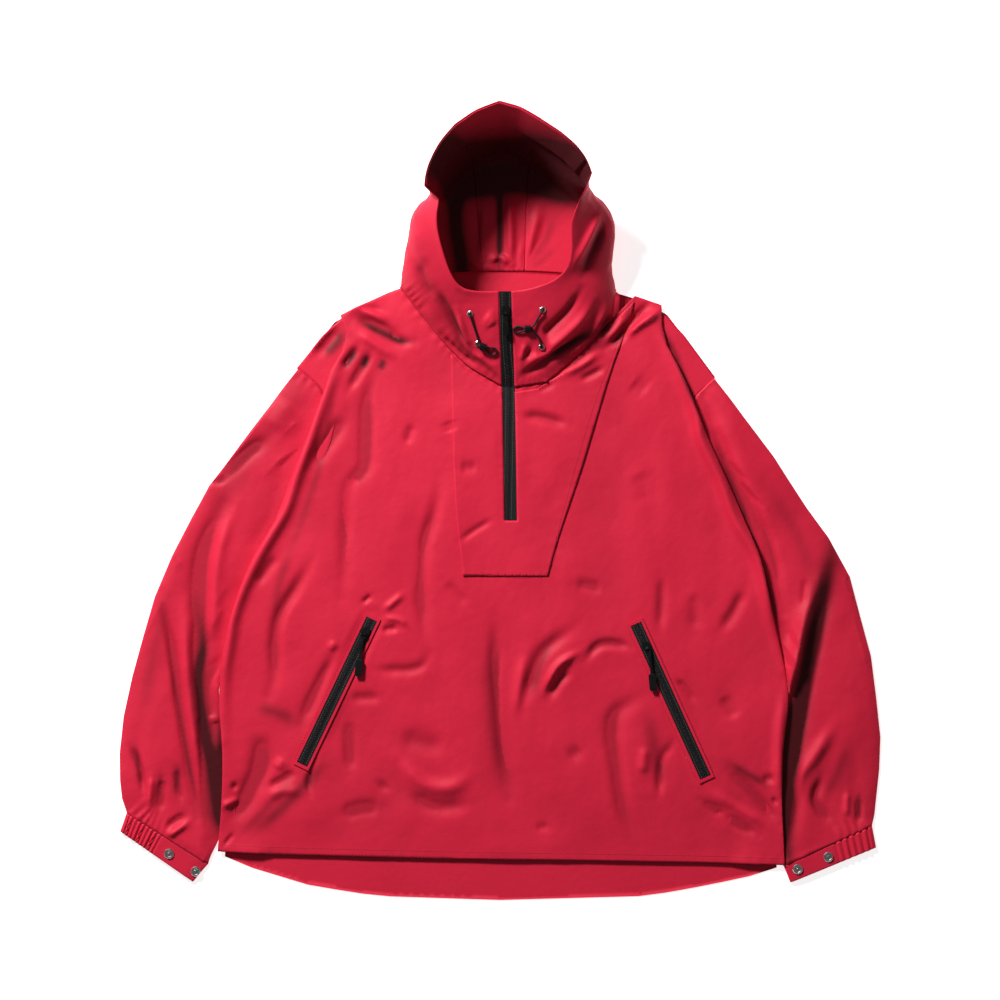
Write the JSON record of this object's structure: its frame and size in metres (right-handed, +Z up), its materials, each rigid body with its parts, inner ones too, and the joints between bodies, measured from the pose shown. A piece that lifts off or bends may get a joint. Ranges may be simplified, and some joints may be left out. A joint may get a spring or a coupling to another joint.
{
  "type": "anorak pullover",
  "caption": "Hooded pullover anorak laid flat, with a half zip, a placket, slanted zip pockets, a drawcord hood and snap cuffs.",
  "frame": {"origin": "centre of the laid garment's outline, on the surface it lies on", "axes": "+Z up from the surface out of the front, +Y towards the hood's crown, +X towards the wearer's left, which is the viewer's right"},
  "size_m": [0.9427, 0.9735, 0.1134],
  "materials": {
    "shell": "satin",
    "trim": "satin",
    "cord": "matte",
    "steel": "satin"
  },
  "bodies": {
    "garment": {"back_panel": "shell", "front_panel": "shell", "placket_panel": "shell", "sleeve_left": "shell", "sleeve_right": "shell", "cuff_left": "shell", "cuff_right": "shell", "hood_left": "shell", "hood_centre": "shell", "hood_right": "shell", "hood_facing": "shell", "pocket_welt_left": "shell", "pocket_welt_right": "shell", "front_zip_tape": "trim", "pocket_zip_tape_left": "trim", "pocket_zip_tape_right": "trim", "front_slider": "trim", "left_slider": "trim", "right_slider": "trim", "cord_lock_left": "trim", "cord_lock_right": "trim", "drawcord_left": "cord", "drawcord_right": "cord", "eyelet_left_upper": "steel", "eyelet_left_lower": "steel", "eyelet_right_upper": "steel", "eyelet_right_lower": "steel", "snap_left_outer": "steel", "snap_left_inner": "steel", "snap_right_outer": "steel", "snap_right_inner": "steel"},
    "front_zip_pull": {"front_pull": "trim"},
    "left_zip_pull": {"left_pull": "trim"},
    "right_zip_pull": {"right_pull": "trim"}
  },
  "joints": [
    {"name": "front_pull_lift", "type": "hinge", "parent": "garment", "child": "front_zip_pull", "pos_m": [0.00681, 0.23704, 0.04084], "axis": [-1, 0, 0], "range_deg": [0, 150]},
    {"name": "left_pull_lift", "type": "hinge", "parent": "garment", "child": "left_zip_pull", "pos_m": [-0.16766, -0.15703, 0.01107], "axis": [-0.9014, 0.4331, 0], "range_deg": [0, 150]},
    {"name": "right_pull_lift", "type": "hinge", "parent": "garment", "child": "right_zip_pull", "pos_m": [0.18167, -0.17504, 0.01103], "axis": [-0.9102, -0.4142, 0], "range_deg": [0, 150]}
  ]
}
